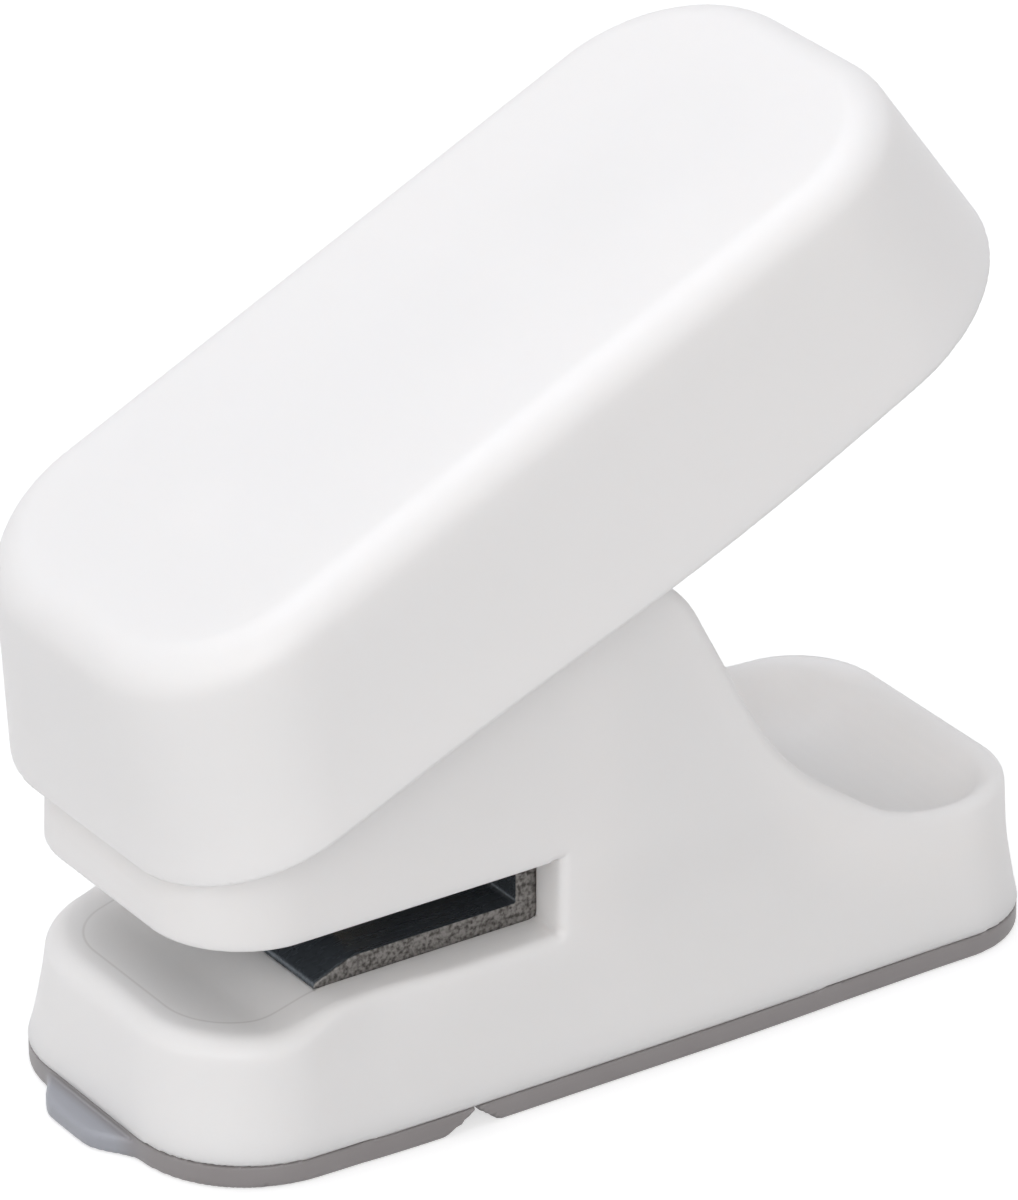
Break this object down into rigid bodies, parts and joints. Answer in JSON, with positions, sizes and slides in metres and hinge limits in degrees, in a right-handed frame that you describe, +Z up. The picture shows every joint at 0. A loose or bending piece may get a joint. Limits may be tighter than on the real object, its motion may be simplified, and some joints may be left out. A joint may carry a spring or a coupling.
{
  "type": "single hole punch",
  "caption": "Compact white single hole punch with a sloping press handle, open paper throat, steel die frame, finger dish and grey chip flap.",
  "frame": {"origin": "On the rest face, under the middle of the base: half way along the base and on its middle plane.", "axes": "+X runs from the paper mouth at the front to the finger dish at the rear, +Y runs across to the left of someone who looks from the front of the mouth towards the dish, +Z is up. Units are metres."},
  "size_m": [0.0688, 0.0324, 0.0627],
  "materials": {
    "white_shell": "satin moulded",
    "grey_cover": "soft moulded, slightly clear",
    "dark_steel": "blackened, sheared edges bare",
    "zinc_steel": "zinc plated",
    "bright_steel": "ground",
    "spring_steel": "drawn wire and stamped strip",
    "bush_brass": "turned"
  },
  "bodies": {
    "housing": {"main_housing": "white_shell", "steel_frame": "dark_steel", "guide_bush": "bush_brass", "hinge_pin": "bright_steel", "hinge_clip": "spring_steel", "base_cover": "grey_cover", "punch_spring": "spring_steel"},
    "handle": {"press_handle": "white_shell", "handle_lever": "zinc_steel", "lever_screw_1": "zinc_steel", "lever_screw_2": "zinc_steel", "lever_screw_3": "zinc_steel"},
    "punch": {"punch_pin": "bright_steel", "drive_pin": "bright_steel", "spring_washer": "zinc_steel", "punch_clip": "spring_steel"},
    "flap": {"chip_flap": "grey_cover"}
  },
  "joints": [
    {"name": "handle_press", "type": "hinge", "parent": "housing", "child": "handle", "pos_m": [-0.0255, 0, 0.0294], "axis": [0, 1, 0], "range_deg": [0, 24], "stiffness_Nm_per_rad": 0.35, "springref_deg": -28.65},
    {"name": "punch_slide", "type": "slide", "parent": "housing", "child": "punch", "axis": [0, 0, -1], "range_m": [0, 0.00608], "deforming": ["punch_spring"]},
    {"name": "flap_hinge", "type": "hinge", "parent": "housing", "child": "flap", "pos_m": [-0.0134, 0, 0.00143], "axis": [0, -1, 0], "range_deg": [0, 100]}
  ],
  "couplings": [
    {"joint": "punch_slide", "follows": "handle_press", "m_per_rad": 0.0145}
  ]
}
